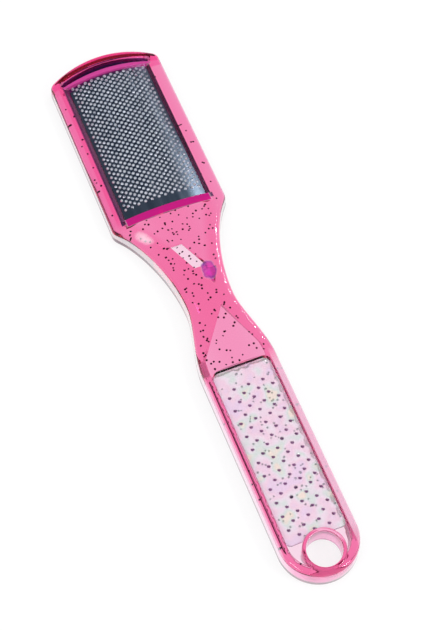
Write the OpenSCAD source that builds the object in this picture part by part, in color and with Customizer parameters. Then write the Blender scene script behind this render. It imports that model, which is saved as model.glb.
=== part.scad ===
// Foot file: a clear moulded handle that holds an arched, pierced steel plate in its head,
// a pale insert in its grip and dark flakes cast in the plastic.
// The back lies on z = 0, the file face looks up and the head points along +Y.

/* [Overall] */
// Length, from the bowed far end to the hanging end
overall_l = 259; // [250:0.2:275]
// Height of the crown above the back
handle_t = 9.5; // [9:0.1:12]
// Radius of the crowned face, seen along the handle
crown_r = 99; // [92:1:140]
// Rounding of the outer edge of the face
edge_r = 1.8; // [1.2:0.1:2.2]
// Bevel of the outer edge of the back
back_bevel = 0.4; // [0.2:0.1:0.8]
// How far the side walls lean in towards the face
draft = 0.3; // [0.1:0.05:0.5]

/* [Head] */
// Width of the head
head_w = 51.6; // [50:0.2:55]
// Length of the head, from the far end to the end of its straight sides
head_l = 87.4; // [85:0.1:93]
// How far the far end bows out past its corners
end_bow = 6; // [4.8:0.1:6.6]
// Radius of the far corners
corner_r = 3.5; // [2.8:0.1:4.5]
// Width of the bar at the far end, beyond the slot
end_bar_w = 5.1; // [3.6:0.1:6]
// Width of the curved slot
slot_w = 3.1; // [2.4:0.1:3.6]
// Straight length of the slot between the centres of its round ends
slot_l = 39.5; // [34:0.1:40.5]
// Radius of the slot's centre line
slot_r = 105; // [90:1:140]
// Width of the bridge between the slot and the window, at its middle
bridge_w = 2.2; // [1.8:0.1:2.8]
// Radius of the window's far edge
bridge_r = 210; // [180:5:260]
// Length of the window at its middle
window_l = 75.4; // [70:0.1:77]
// Width of the window
window_w = 37; // [34:0.1:38]
// Width of the sloping lip along each side of the window
lip_w = 2; // [1.4:0.1:2.4]
// Thickness of the lip over the plate's long edge
lip_t = 0.6; // [0.4:0.1:0.9]
// How far the neck end of the window slopes away from it, towards the back
window_lean = 1.5; // [1:0.1:2]

/* [File plate] */
// Thickness of the steel
plate_t = 0.6; // [0.4:0.05:0.8]
// Radius of the plate's arch
plate_r = 62; // [58:1:75]
// Depth of the plate's crown below the handle's crown
plate_drop = 1.2; // [0.9:0.1:1.6]
// How far each long edge is tucked into the side of the window
side_tuck = 2; // [1.5:0.1:2.2]
// How far each end is tucked into its wall
end_tuck = 1.2; // [1:0.1:1.4]
// Room round the plate in its groove
plate_gap = 0.1; // [0.05:0.01:0.15]
// Width of the plain band at the neck end, to the middle of the last row of holes
plain_band = 5.6; // [4.5:0.1:7]
// Width of the holes
pierce_d = 1.1; // [0.8:0.05:1.2]
// Distance between holes of one row
pierce_pitch = 3; // [2.9:0.02:3.3]
// Distance between one row and the next
row_pitch = 1.27; // [1.24:0.01:1.4]

/* [Neck] */
// Width where the shoulders pass into the neck
shoulder_w = 40.8; // [38:0.2:43]
// Length of the shoulders
shoulder_l = 9.4; // [8:0.1:12]
// Length from the shoulders to the waist
neck_l = 38.4; // [33:0.2:43]
// Width of the waist
waist_w = 21; // [19:0.2:25]
// Length from the waist to the full width of the grip
flare_l = 30.8; // [26:0.2:37]
// Depth of the V-shaped hollow in the back of the neck
vee_depth = 1.8; // [1.2:0.1:2.4]
// Distance from the window to the tip of the V-shaped hollow, which opens into the window
vee_l = 39.2; // [37:0.1:41]
// Full angle of the V
vee_angle = 48; // [44:1:50]
// Full angle of the pointed end of the grip's hollow
point_angle = 58; // [50:1:60]
// Depth of the pointed end of the grip's hollow
point_depth = 3.5; // [2.5:0.1:4]
// Distance from the waist to the point of the grip's hollow
point_gap = 0.6; // [0.2:0.1:2]
// How far the tip of the V lies to the right of the middle
vee_shift = 5.5; // [0:0.5:6]
// How far the point of the grip's hollow lies to the right of the middle
point_shift = 4; // [0:0.5:5]
// Length of the roof of the deep pocket in the left arm of the V
pocket_l = 12.9; // [10:0.1:14]
// Width of the roof of the pocket
pocket_w = 4.8; // [3:0.1:5.2]
// How much longer the pocket is at the back than its roof
pocket_flare_l = 4; // [3:0.1:4.4]
// How much wider the pocket is at the back than its roof
pocket_flare_w = 3.3; // [2.5:0.1:3.5]
// How far the pocket runs to the right over its length
pocket_lean = 5.6; // [4:0.1:6]
// Depth of the pocket
pocket_depth = 7.9; // [6:0.1:8.1]
// Distance from the tip of the V to the pocket
pocket_rise = 6.2; // [5.8:0.1:7]
// How far the pocket's left end starts to the left of the tip of the V
pocket_shift = 6; // [5:0.1:7]
// Length of the sloping facet at the tip of the V
facet_l = 4.8; // [3.6:0.1:5]
// Width of the top of the facet
facet_w = 5.6; // [4:0.1:6]
// How far beyond the tip of the V the facet starts
facet_start = 0.4; // [0.2:0.1:0.6]

/* [Grip] */
// Width of the grip
grip_w = 32; // [31:0.2:36]
// Thickness of the wall round the grip
grip_wall = 3.6; // [3:0.1:4.2]
// Thickness of the floor under the insert
floor_t = 1.3; // [1:0.1:1.8]
// Depth of the recess in the face
recess_depth = 2.4; // [2:0.1:2.8]
// Length of the recess, down to the end of the insert
recess_l = 76.3; // [70:0.1:78]
// Corner radius of the recess
recess_corner_r = 3; // [2:0.1:4]

/* [Insert] */
// Thickness of the insert
inlay_t = 1; // [0.7:0.05:1.1]
// Room round the insert in its recess
inlay_gap = 0.3; // [0.15:0.05:0.4]
// Room under the insert
inlay_seat = 0.1; // [0.05:0.05:0.2]
// How far the ring of the hanging hole notches the end of the insert
ring_notch = 2.3; // [1:0.1:3]
// Diameter of a pip
pip_d = 1.55; // [1.2:0.05:1.8]
// Height of a pip
pip_h = 0.45; // [0.3:0.05:0.5]
// Distance from one column of pips to the next
pip_column = 3.06; // [2.8:0.02:3.3]
// Distance between the pips of one column
pip_pitch = 5.83; // [5.5:0.01:6.4]
// Distance from the top of the insert to its first pips
pip_start = 9.1; // [6:0.1:12]

/* [Hanging end] */
// Diameter of the hanging hole
hang_d = 13.8; // [12:0.1:14.4]
// Thickness of the ring round the hole
ring_w = 1.5; // [1.2:0.1:1.6]
// Thickness of plastic between the hole and the end
hang_wall = 3.4; // [2.8:0.1:4.4]
// How far the ring stands above the crown
ring_rise = 0.3; // [0.2:0.1:0.8]

/* [Flakes] */
// Number of places tried for a flake
flake_tries = 150; // [100:10:300]
// Width of a flake
flake_d = 0.9; // [0.6:0.05:1.1]
// Thickness of a flake
flake_t = 0.12; // [0.1:0.01:0.2]
// Least plastic between a flake and any surface
flake_cover = 0.9; // [0.7:0.1:1.1]

/* [Hidden] */
over = 1;
round_steps = 360;
pip_columns = 7;
pip_rows = 12;
flake_seed = 11;
flake_sides = 6;
flake_tilt = 25;

far_y = overall_l / 2;
shoulder_y = far_y - head_l;
neck_y = shoulder_y - shoulder_l;
waist_y = neck_y - neck_l;
grip_y = waist_y - flare_l;
grip_end_y = grip_w / 2 - far_y;

slot_y = far_y - end_bar_w - slot_w / 2;
slot_axis_y = slot_y - slot_r;
window_far_y = slot_y - slot_w / 2 - bridge_w;
window_y = window_far_y - window_l;

plate_top = handle_t - plate_drop;
plate_w = window_w + 2 * side_tuck;
plate_end_r = slot_r + slot_w / 2 + end_tuck;
plate_y = window_y - end_tuck;

hang_r = hang_d / 2;
hang_y = hang_wall + hang_r - far_y;
ring_r = hang_r + ring_w;
recess_w = grip_w - 2 * grip_wall;
inlay_end_y = hang_y + ring_r - ring_notch;
recess_y = inlay_end_y + recess_l;
vee_tip_y = window_y - vee_l;
point_y = waist_y - point_gap;
pocket_at = [vee_shift - pocket_shift, vee_tip_y + pocket_rise];

// Height of an arch at x, given the height of its middle and its radius
function arch_z(x, top, r) = top - r + sqrt(r * r - x * x);

// The points of a cubic curve, without its last one
function curve(a, b, c, d, steps) = [for (i = [0 : steps - 1]) let (t = i / steps)
    pow(1 - t, 3) * a + 3 * pow(1 - t, 2) * t * b + 3 * (1 - t) * t * t * c + pow(t, 3) * d];

// The points of an arc about c, from angle a to angle b, without its last one
function arc(c, r, a, b, steps) = [for (i = [0 : steps - 1]) let (t = a + (b - a) * i / steps)
    c + r * [cos(t), sin(t)]];

// Right half of the handle's outline, from the middle of the far end to the hanging end.
// The shares place the handles of the curves along the length of each stretch.
end_r = (pow(head_w / 2, 2) + end_bow * end_bow) / (2 * end_bow);
end_axis = [0, far_y - end_r];
corner_x = head_w / 2 - corner_r;
corner_axis = [corner_x, end_axis.y + sqrt(pow(end_r - corner_r, 2) - corner_x * corner_x)];
corner_angle = atan2(corner_axis.y - end_axis.y, corner_x);
shoulder_shares = [0.32, 0.58];
neck_shares = [0.26, 0.37];
flare_shares = [0.26, 0.34];
lean_share = 2.15;
shoulder_at = [shoulder_w / 2, neck_y];
lean = [lean_share * (shoulder_w - waist_w) / 2 / neck_l, 1];
half_outline = concat(
    arc(end_axis, end_r, 90, corner_angle, 9),
    arc(corner_axis, corner_r, corner_angle, 0, 5),
    [[head_w / 2, corner_axis.y]],
    curve([head_w / 2, shoulder_y], [head_w / 2, shoulder_y - shoulder_shares[0] * shoulder_l],
        shoulder_at + shoulder_shares[1] * shoulder_l * lean, shoulder_at, 7),
    curve(shoulder_at, shoulder_at - neck_shares[0] * neck_l * lean,
        [waist_w / 2, waist_y + neck_shares[1] * neck_l], [waist_w / 2, waist_y], 11),
    curve([waist_w / 2, waist_y], [waist_w / 2, waist_y - flare_shares[0] * flare_l],
        [grip_w / 2, grip_y + flare_shares[1] * flare_l], [grip_w / 2, grip_y], 9),
    [[grip_w / 2, grip_y]],
    arc([0, grip_end_y], grip_w / 2, 0, -90, 14),
    [[0, -far_y]]);
half_n = len(half_outline);
outline = concat(half_outline,
    [for (i = [half_n - 2 : -1 : 1]) [-half_outline[i].x, half_outline[i].y]]);
outline_n = len(outline);
width_table = [for (i = [half_n - 1 : -1 : 0]) [half_outline[i].y, half_outline[i].x]];

function unit(v) = v / norm(v);
function inward(i) = let (d = unit(outline[(i + 1) % outline_n] - outline[(i + outline_n - 1) % outline_n]))
    [d.y, -d.x];
function inset(i, d) = outline[i] + d * inward(i);

// A ring of points follows the outline, drawn in by d. Its height is z, or with under set
// it is that far under the crown.
function ring(d, z) = [for (i = [0 : outline_n - 1]) concat(inset(i, d), z)];
function ring_under(d, under) = [for (i = [0 : outline_n - 1]) let (p = inset(i, d))
    [p.x, p.y, arch_z(p.x, handle_t, crown_r) - under]];

// The handle's outline with a bevelled back and a rounded upper edge, too tall at both ends
module blank() {
    edge_angles = [0, 22, 44, 66];
    last = edge_r * (1 - cos(edge_angles[3]));
    rings = concat(
        [ring(back_bevel + over, -over), ring(0, back_bevel)],
        [for (a = edge_angles) ring_under(draft + edge_r * (1 - cos(a)), edge_r * (1 - sin(a)))],
        [ring(draft + last, handle_t + over)]);
    levels = len(rings);
    points = [for (level = rings, p = level) p];
    function at(level, i) = level * outline_n + i % outline_n;
    walls = [for (k = [0 : levels - 2], i = [0 : outline_n - 1], half = [0, 1])
        half == 0 ? [at(k, i), at(k, i + 1), at(k + 1, i + 1)]
            : [at(k, i), at(k + 1, i + 1), at(k + 1, i)]];
    bottom = [for (i = [outline_n - 1 : -1 : 0]) at(0, i)];
    lid = [for (i = [0 : outline_n - 1]) at(levels - 1, i)];
    polyhedron(points, concat([bottom, lid], walls));
}

// Everything under an arch, along the whole handle
module under_arch(top, r) {
    rotate([90, 0, 0]) translate([0, 0, -overall_l]) linear_extrude(2 * overall_l)
        translate([0, top - r]) circle(r, $fn = round_steps);
}

// A flat shape in plan, from z = low to z = high
module prism(low, high) {
    translate([0, 0, low]) linear_extrude(high - low) children();
}

// An arched sheet in flat strips, one for each column of holes, between two y values
module sheet(top, r, t, w, y0, y1) {
    strip = pierce_pitch / 2;
    inner = floor(w / strip / 2 - 1 / 2);
    xs = concat([-w / 2], [for (k = [-inner : inner - 1]) (k + 1 / 2) * strip], [w / 2]);
    last = len(xs) - 1;
    profile = concat([for (x = xs) [x, arch_z(x, top, r)]],
        [for (i = [last : -1 : 0]) [xs[i], arch_z(xs[i], top, r) - t]]);
    rotate([90, 0, 0]) translate([0, 0, -y1]) linear_extrude(y1 - y0) polygon(profile);
}

// The points of an arc across the handle, bowed towards its far end, from x = w / 2 to -w / 2
function bow(far, r, w, steps) = let (half = asin(w / 2 / r), axis = [0, far - r])
    concat(arc(axis, r, 90 - half, 90 + half, steps), [axis + r * [-sin(half), cos(half)]]);

module window_plan() {
    polygon(concat([[-window_w / 2, window_y], [window_w / 2, window_y]],
        bow(window_far_y, bridge_r, window_w, 8)));
}

// A curved slot with round ends
module slot_plan() {
    from = 90 - asin(slot_l / 2 / slot_r);
    to = 180 - from;
    translate([0, slot_axis_y]) polygon(concat(
        arc([0, 0], slot_r + slot_w / 2, from, to, 24),
        arc(slot_r * [cos(to), sin(to)], slot_w / 2, to, to + 180, 8),
        arc([0, 0], slot_r - slot_w / 2, to, from, 24),
        arc(slot_r * [cos(from), sin(from)], slot_w / 2, from + 180, from + 360, 8)));
}

// The plate in plan: its far end follows the slot
module plate_plan(grow) {
    w = plate_w + 2 * grow;
    polygon(concat([[-w / 2, plate_y - grow], [w / 2, plate_y - grow]],
        bow(slot_axis_y + plate_end_r + grow, plate_end_r + grow, w, 16)));
}

module plate_blank(grow) {
    intersection() {
        sheet(plate_top + grow, plate_r, plate_t + 2 * grow, plate_w + 2 * grow, plate_y - over, far_y);
        prism(0, handle_t + over) plate_plan(grow);
    }
}

// Slopes the lips down from the crown to the plate, on both sides of the window
module lip_bevel() {
    inner = window_w / 2;
    outer = inner + lip_w;
    low = arch_z(inner, plate_top, plate_r) + lip_t;
    high = arch_z(outer, handle_t, crown_r);
    slope = (high - low) / lip_w;
    corner_drop = window_far_y - bridge_r + sqrt(bridge_r * bridge_r - outer * outer);
    rotate([90, 0, 0]) translate([0, 0, -corner_drop]) linear_extrude(corner_drop - window_y)
        polygon([[-outer, high], [-inner + over, low - over * slope], [inner - over, low - over * slope],
            [outer, high], [outer, high + over], [-outer, high + over]]);
}

// Slopes the neck end of the window away from it, from the plate down to the back
module window_slope() {
    fall = window_lean / plate_top;
    rotate([90, 0, 90]) linear_extrude(window_w, center = true)
        polygon([[window_y, plate_top], [window_y - window_lean - over * fall, -over],
            [window_y + over, -over], [window_y + over, plate_top]]);
}

module recess_plan(gap) {
    w = recess_w - 2 * gap;
    r = recess_corner_r - gap;
    difference() {
        union() {
            translate([-w / 2, grip_end_y]) square([w, recess_y - gap - r - grip_end_y]);
            translate([-w / 2 + r, grip_end_y]) square([w - 2 * r, recess_y - gap - grip_end_y]);
            for (side = [-1, 1])
                translate([side * (w / 2 - r), recess_y - gap - r]) circle(r, $fn = 32);
            translate([0, grip_end_y]) circle(w / 2, $fn = round_steps / 2);
        }
        translate([0, hang_y]) circle(ring_r + gap, $fn = round_steps / 4);
    }
}

// A triangle with its tip towards -Y (way = 1) or +Y (way = -1), shifted to the right
module vee_plan(angle, shift, tip_y, l, way) {
    half = l * tan(angle / 2);
    polygon([[shift, tip_y], [half, tip_y + way * l], [-half, tip_y + way * l]]);
}

// A slanting parallelogram in the left arm of the V, with a share of the flare added
function pocket_ring(share, z) = [for (corner = [[0, 0], [0, 1], [1, 1], [1, 0]])
    let (
        across = corner.x * (pocket_w + share * pocket_flare_w),
        along = corner.y * (pocket_l + share * pocket_flare_l))
    [pocket_at.x + across - along * pocket_lean / pocket_l, pocket_at.y + along, z]];

// The pocket is wider at the back, on the sides that face the head and the right
module pocket() {
    polyhedron(concat(pocket_ring(1 + over / pocket_depth, -over), pocket_ring(0, pocket_depth)),
        concat([[3, 2, 1, 0], [4, 5, 6, 7]], [for (i = [0 : 3]) [i, (i + 1) % 4, (i + 1) % 4 + 4, i + 4]]));
}

// A steep facet that climbs from the tip of the V
module facet() {
    start_y = vee_tip_y - facet_start;
    tip = [vee_shift, start_y - facet_l * over / pocket_depth];
    ends = [for (side = [-1, 1]) [vee_shift + side * facet_w / 2, start_y + facet_l]];
    polyhedron([concat(tip, -over), concat(ends[0], -over), concat(ends[1], -over),
        concat(ends[0], pocket_depth), concat(ends[1], pocket_depth)],
        [[0, 2, 1], [1, 2, 4, 3], [0, 1, 3], [0, 4, 2], [0, 3, 4]]);
}

// The hollow behind the grip, in plan: a pointed end, then the inside of the walls
module hollow_plan() {
    point_l = recess_w / 2 / tan(point_angle / 2);
    difference() {
        union() {
            vee_plan(point_angle, point_shift, point_y, point_l, -1);
            translate([-recess_w / 2, grip_end_y]) square([recess_w, point_y - point_l - grip_end_y]);
            translate([0, grip_end_y]) circle(recess_w / 2, $fn = round_steps / 2);
        }
        translate([0, hang_y]) circle(ring_r, $fn = round_steps / 4);
    }
}

module handle_solid() {
    roof = recess_depth + floor_t;
    difference() {
        union() {
            intersection() {
                blank();
                under_arch(handle_t, crown_r);
                translate([-head_w, -overall_l, 0]) cube([2 * head_w, 2 * overall_l, handle_t]);
            }
            translate([0, hang_y, 0]) cylinder(r = ring_r, h = handle_t + ring_rise, $fn = round_steps / 4);
        }
        prism(-over, handle_t + over) window_plan();
        window_slope();
        lip_bevel();
        plate_blank(plate_gap);
        difference() {
            prism(0, handle_t + over) slot_plan();
            under_arch(plate_top - plate_t / 2, plate_r);
        }
        difference() {
            prism(0, handle_t + over) recess_plan(0);
            under_arch(handle_t - recess_depth, crown_r - recess_depth);
        }
        prism(-over, vee_depth) vee_plan(vee_angle, vee_shift, vee_tip_y, vee_l + over, 1);
        pocket();
        facet();
        prism(-over, point_depth) hollow_plan();
        intersection() {
            prism(-over, handle_t) hollow_plan();
            translate([-grip_w, -far_y, -over]) cube([2 * grip_w, recess_y + far_y, handle_t]);
            under_arch(handle_t - roof, crown_r - roof);
        }
        translate([0, hang_y, -over])
            cylinder(r = hang_r, h = handle_t + ring_rise + 2 * over, $fn = round_steps / 4);
    }
}

// Clear pink moulding
module handle() color("hotpink", 0.6) difference() {
    handle_solid();
    flakes();
}

// Arched steel sheet, pierced in staggered rows
module file_plate() color("slategray") difference() {
    plate_blank(0);
    first_y = window_y + plain_band;
    rows = floor((window_far_y - first_y - pierce_d / 2) / row_pitch);
    columns = floor((window_w - pierce_d) / pierce_pitch);
    for (j = [0 : rows], k = [0 : columns - j % 2])
        translate([(k - (columns - j % 2) / 2) * pierce_pitch, first_y + j * row_pitch, 0])
            cylinder(d = pierce_d, h = handle_t, $fn = 6);
}

// Pale insert with domed pips in staggered columns
module grip_inlay() color("thistle") {
    top = handle_t - recess_depth + inlay_seat + inlay_t;
    r = crown_r - recess_depth + inlay_seat + inlay_t;
    dome_r = (pip_d * pip_d / 4 + pip_h * pip_h) / (2 * pip_h);
    intersection() {
        difference() {
            under_arch(top, r);
            under_arch(top - inlay_t, r - inlay_t);
        }
        prism(0, handle_t) intersection() {
            recess_plan(inlay_gap);
            translate([-grip_w, inlay_end_y]) square([2 * grip_w, recess_l]);
        }
    }
    for (c = [0 : pip_columns - 1], k = [0 : pip_rows - 1 - (c + 1) % 2]) {
        x = (c - (pip_columns - 1) / 2) * pip_column;
        y = recess_y - pip_start - (k + (c + 1) % 2 / 2) * pip_pitch;
        intersection() {
            translate([x, y, arch_z(x, top, r) + pip_h - dome_r]) sphere(dome_r, $fn = 24);
            translate([x, y, top - inlay_t]) cylinder(d = pip_d, h = handle_t, $fn = 24);
        }
    }
}

// Places for flakes, tried at random between the window and the recess and kept where the
// plastic covers them on all sides
flake_r = flake_d / 2 + flake_cover;
flake_low = max(point_depth, vee_depth) + flake_cover;

// Whether a flake at x, y would lie over the pocket or the facet, or too near to them
function by_pocket(x, y) = let (
        along = y - pocket_at.y,
        across = x - pocket_at.x + along * pocket_lean / pocket_l,
        room = flake_r + flake_cover)
    y > vee_tip_y - room && along < pocket_l + pocket_flare_l + room
    && across > -room && across < pocket_w + pocket_flare_w + room;

flake_places = let (
        across = rands(-1, 1, flake_tries, flake_seed),
        along = rands(recess_y + flake_r, window_y - window_lean - flake_r, flake_tries, flake_seed + 1),
        up = rands(0, 1, flake_tries, flake_seed + 2),
        tilts = rands(-flake_tilt, flake_tilt, 2 * flake_tries, flake_seed + 3))
    [for (i = [0 : flake_tries - 1]) let (
            x = across[i] * head_w / 2,
            room = lookup(along[i], width_table) - edge_r - flake_r,
            high = arch_z(x, handle_t, crown_r) - flake_cover)
        if (abs(x) < room && !by_pocket(x, along[i]))
            [[x, along[i], flake_low + up[i] * (high - flake_low)], [tilts[2 * i], tilts[2 * i + 1], 0]]];

module flakes() {
    for (place = flake_places)
        translate(place[0]) rotate(place[1])
            cylinder(d = flake_d, h = flake_t, center = true, $fn = flake_sides);
}

// Dark flakes cast in the plastic
module glitter_flakes() color("indigo") flakes();

handle();
file_plate();
grip_inlay();
glitter_flakes();
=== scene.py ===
# %% [markdown]
# # A foot file in clear pink plastic
# The object is a clear moulded handle that holds an arched, pierced steel plate in its head. A pale
# insert with rows of pips lies in the grip, and dark flakes are cast in the plastic. The CAD model
# gives the places and sizes. This lesson dresses it, and starts by loading it as a fixed frame.

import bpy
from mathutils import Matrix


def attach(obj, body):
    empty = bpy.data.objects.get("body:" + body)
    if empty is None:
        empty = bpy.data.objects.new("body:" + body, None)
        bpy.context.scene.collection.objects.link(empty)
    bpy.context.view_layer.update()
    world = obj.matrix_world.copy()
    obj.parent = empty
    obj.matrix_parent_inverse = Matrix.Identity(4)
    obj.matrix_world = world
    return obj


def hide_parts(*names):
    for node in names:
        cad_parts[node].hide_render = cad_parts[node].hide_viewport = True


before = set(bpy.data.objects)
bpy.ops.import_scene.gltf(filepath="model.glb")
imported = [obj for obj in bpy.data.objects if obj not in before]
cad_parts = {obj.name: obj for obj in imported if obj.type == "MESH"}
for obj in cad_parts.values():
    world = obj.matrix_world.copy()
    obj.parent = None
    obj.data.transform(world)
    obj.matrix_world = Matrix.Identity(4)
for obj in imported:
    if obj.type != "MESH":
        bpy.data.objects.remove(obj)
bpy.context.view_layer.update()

# %% Imports and units
import math

import bmesh
import bpy
from mathutils import Matrix, Quaternion, Vector, kdtree
from mathutils.geometry import delaunay_2d_cdt

mm = 0.001
print("Lengths are in millimetres, times", mm)

# %% [markdown]
# ## The camera
# A picture of a long thing is mostly a matter of the camera. The photograph was taken from the
# handle's end, a little to its left and from high up, with a lens that sees about 25 degrees. A
# camera is easiest to understand as a point that it looks at, two angles and a distance, so the
# cell below is written that way.

# %% Camera
def into_scene(name, data):
    """Adds an object to the scene for a mesh, a camera or a lamp."""
    piece = bpy.data.objects.new(name, data)
    bpy.context.scene.collection.objects.link(piece)
    return piece


camera_target = Vector((-1.85, -10.3, 4.75)) * mm
camera_azimuth = math.radians(-22)
camera_elevation = math.radians(61.5)
camera_roll = math.radians(0.25)
camera_distance = 563 * mm
image_w, image_h = 421, 631
focal_px = 1386

toward_camera = Vector((
    math.sin(camera_azimuth) * math.cos(camera_elevation),
    -math.cos(camera_azimuth) * math.cos(camera_elevation),
    math.sin(camera_elevation)))
lens = bpy.data.cameras.new("camera")
lens.sensor_width = 36
lens.lens = focal_px * lens.sensor_width / max(image_w, image_h)
lens.clip_start = 0.01
lens.clip_end = 20
camera = into_scene("camera", lens)
camera.location = camera_target + camera_distance * toward_camera
aim = (-toward_camera).to_track_quat("-Z", "Y")
camera.rotation_euler = (aim @ Quaternion((0, 0, 1), camera_roll)).to_euler()
bpy.context.scene.camera = camera
print("Camera at", tuple(round(v, 3) for v in camera.location), "with a lens of", round(lens.lens, 1))

# %% [markdown]
# ## Sizes
# These are the sizes of the real object in millimetres, the ones that its maker would put on a
# drawing. The CAD model uses the same ones. Heights are measured from the back, and y runs from
# the hanging end to the head, with zero in the middle.

# %% Sizes of the handle
overall_l = 259
handle_t = 9.5
crown_r = 99
edge_r = 1.8
draft = 0.3
back_bevel = 0.4

# %% Sizes of the head
head_w = 51.6
head_l = 87.4
end_bow = 6
corner_r = 3.5
end_bar_w = 5.1
slot_w = 3.1
slot_l = 39.5
slot_r = 105
bridge_w = 2.2
bridge_r = 210
window_l = 75.4
window_w = 37
lip_w = 2
lip_t = 0.6
window_lean = 1.5

# %% Sizes of the neck
shoulder_w = 40.8
shoulder_l = 9.4
neck_l = 38.4
waist_w = 21
flare_l = 30.8
vee_depth = 1.8
vee_l = 39.2
vee_angle = 48
point_angle = 58
point_depth = 3.5
point_gap = 0.6
vee_shift = 5.5
point_shift = 4
pocket_l = 12.9
pocket_w = 4.8
pocket_flare_l = 4
pocket_flare_w = 3.3
pocket_lean = 5.6
pocket_depth = 7.9
pocket_rise = 6.2
pocket_shift = 6
facet_l = 4.8
facet_w = 5.6
facet_start = 0.4

# %% Sizes of the grip
grip_w = 32
grip_wall = 3.6
floor_t = 1.3
recess_depth = 2.4
recess_l = 76.3
recess_corner_r = 3
hang_d = 13.8
ring_w = 1.5
hang_wall = 3.4
ring_rise = 0.3
ring_notch = 2.3

# %% Places along the handle
far_y = overall_l / 2
shoulder_y = far_y - head_l
neck_y = shoulder_y - shoulder_l
waist_y = neck_y - neck_l
grip_y = waist_y - flare_l
grip_end_y = grip_w / 2 - far_y
slot_y = far_y - end_bar_w - slot_w / 2
slot_axis_y = slot_y - slot_r
window_far_y = slot_y - slot_w / 2 - bridge_w
window_y = window_far_y - window_l
hang_r = hang_d / 2
ring_r = hang_r + ring_w
hang_y = hang_wall + hang_r - far_y
recess_w = grip_w - 2 * grip_wall
inlay_end_y = hang_y + ring_r - ring_notch
recess_y = inlay_end_y + recess_l
vee_slope = math.tan(math.radians(vee_angle / 2))
point_slope = math.tan(math.radians(point_angle / 2))
vee_tip_y = window_y - vee_l
point_y = waist_y - point_gap
pocket_at = Vector((vee_shift - pocket_shift, vee_tip_y + pocket_rise))
print("Window from y =", round(window_y, 2), "to", round(window_far_y, 2), "mm")

# %% Sizes of the plate
plate_t = 0.6
plate_r = 62
plate_drop = 1.2
side_tuck = 2
end_tuck = 1.2
plain_band = 5.6
pierce_d = 1.1
pierce_pitch = 3.0
row_pitch = 1.27
plate_top = handle_t - plate_drop
plate_w = window_w + 2 * side_tuck
plate_end_r = slot_r + slot_w / 2 + end_tuck

# %% Sizes of the insert
inlay_t = 1.0
inlay_gap = 0.3
inlay_seat = 0.1
pip_d = 1.55
pip_h = 0.45
pip_column = 3.06
pip_pitch = 5.83
pip_start = 9.1
pip_columns = 7
pip_rows = 12


def arch(x, top, radius):
    """Height at x of an arch across the handle."""
    return top - radius + math.sqrt(radius * radius - x * x)


def crown(x, y=0):
    """Height of the handle's face, which is the same all along it."""
    return arch(x, handle_t, crown_r)


print("The face is", round(crown(head_w / 2), 2), "mm high at the side of the head")


# %% [markdown]
# ## Outlines
# A moulded handle begins as an outline. Points along arcs and cubic curves give it, and the same
# list, drawn in or out by a distance, gives each step of a rounded edge.

# %% Curves for outlines
def arc(centre, radius, start, stop, steps):
    """Points of an arc, in degrees, without its last one."""
    angles = [math.radians(start + (stop - start) * i / steps) for i in range(steps)]
    return [Vector(centre) + radius * Vector((math.cos(a), math.sin(a))) for a in angles]


def cubic(a, b, c, d, steps):
    """Points of a cubic curve, without its last one."""
    a, b, c, d = (Vector(p) for p in (a, b, c, d))
    points = []
    for i in range(steps):
        t = i / steps
        s = 1 - t
        points.append(s ** 3 * a + 3 * s * s * t * b + 3 * s * t * t * c + t ** 3 * d)
    return points


def drawn_in(loop, distance):
    """A clockwise loop, moved inwards by a distance."""
    moved = []
    for i, point in enumerate(loop):
        along = loop[(i + 1) % len(loop)] - loop[i - 1]
        along.normalize()
        moved.append(point + distance * Vector((along.y, -along.x)))
    return moved


def straight(x, start, stop, steps):
    """Points of a line along the handle, without its last one."""
    return [Vector((x, start + (stop - start) * i / steps)) for i in range(steps)]


def clockwise(loop):
    """The loop itself, or turned round if it runs the other way."""
    area = sum(a.x * b.y - b.x * a.y for a, b in zip(loop, loop[1:] + loop[:1]))
    return loop[::-1] if area > 0 else loop


# %% Outline of the handle
end_r = ((head_w / 2) ** 2 + end_bow ** 2) / (2 * end_bow)
end_axis = Vector((0, far_y - end_r))
corner_x = head_w / 2 - corner_r
corner_axis = Vector((corner_x, end_axis.y + math.sqrt((end_r - corner_r) ** 2 - corner_x ** 2)))
corner_angle = math.degrees(math.atan2(corner_axis.y - end_axis.y, corner_x))
shoulder_at = Vector((shoulder_w / 2, neck_y))
shoulder_slant = 2.15
lean = Vector((shoulder_slant * (shoulder_w - waist_w) / 2 / neck_l, 1))
# Each pull is how far a handle of its curve reaches, as a share of the curve's length.
head_pull = 0.32
shoulder_pull = 0.58
neck_pull = 0.26
waist_pull = 0.37
flare_pull = 0.26
grip_pull = 0.34

right_side = (
    arc(end_axis, end_r, 90, corner_angle, 24)
    + arc(corner_axis, corner_r, corner_angle, 0, 10)
    + straight(head_w / 2, corner_axis.y, shoulder_y, 12)
    + cubic((head_w / 2, shoulder_y), (head_w / 2, shoulder_y - head_pull * shoulder_l),
            shoulder_at + shoulder_pull * shoulder_l * lean, shoulder_at, 12)
    + cubic(shoulder_at, shoulder_at - neck_pull * neck_l * lean,
            (waist_w / 2, waist_y + waist_pull * neck_l), (waist_w / 2, waist_y), 24)
    + cubic((waist_w / 2, waist_y), (waist_w / 2, waist_y - flare_pull * flare_l),
            (grip_w / 2, grip_y + grip_pull * flare_l), (grip_w / 2, grip_y), 20)
    + straight(grip_w / 2, grip_y, grip_end_y, 14)
    + arc((0, grip_end_y), grip_w / 2, 0, -90, 28)
    + [Vector((0, -far_y))])
outline = right_side + [Vector((-p.x, p.y)) for p in right_side[-2:0:-1]]
print("The outline has", len(outline), "points")

# %% [markdown]
# ## Solids from rings
# Every block and every cutter here is a stack of rings. Each ring is the same loop of points at
# another height, drawn in or out a little, so fillets and flared rims come with the stack. The ends
# are closed with a triangle net that follows a height formula, because a crowned face can't be one
# flat polygon.

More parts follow.
